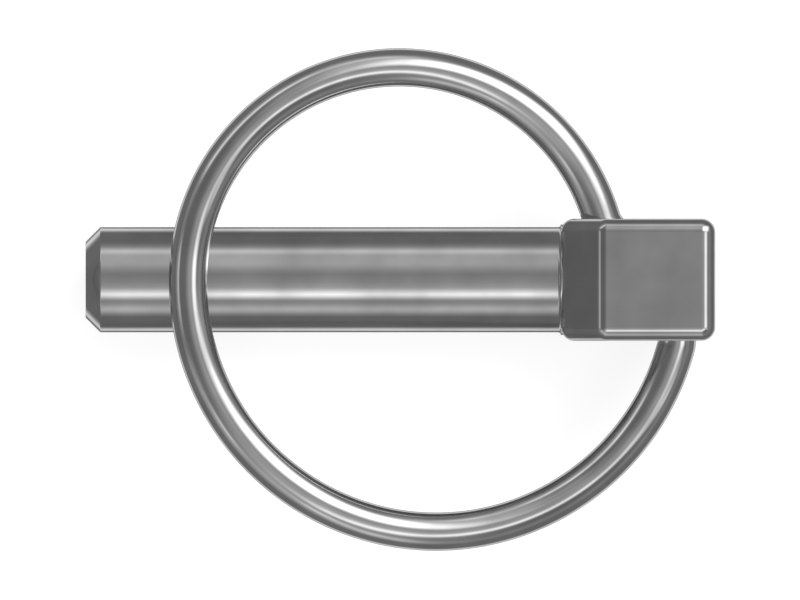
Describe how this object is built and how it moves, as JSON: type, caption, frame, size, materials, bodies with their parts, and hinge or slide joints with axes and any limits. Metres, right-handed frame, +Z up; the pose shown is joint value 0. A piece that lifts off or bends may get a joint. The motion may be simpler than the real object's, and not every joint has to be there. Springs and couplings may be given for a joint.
{
  "type": "lynch pin",
  "caption": "Forged round pin with a square head and a hinged spring ring that closes over the shank.",
  "frame": {"origin": "on the shank's axis, at the shoulder where the shank meets the head", "axes": "+X along the shank, from the tip to the head; +Z up, towards the side that the closed ring lies on; +Y towards the ring's narrow side"},
  "size_m": [0.0599, 0.0478, 0.0151],
  "materials": {
    "pin_steel": "bright zinc plated, smooth",
    "ring_steel": "bright zinc plated, drawn wire"
  },
  "bodies": {
    "pin": {"headed_pin": "pin_steel"},
    "ring": {"spring_ring": "ring_steel"}
  },
  "joints": [
    {"name": "ring_swing", "type": "hinge", "parent": "pin", "child": "ring", "pos_m": [0.00758, 0, 0.0029], "axis": [-0.5479, 0.8346, 0.0576], "range_deg": [0, 110], "stiffness_Nm_per_rad": 0.05, "springref_deg": -17.19}
  ]
}
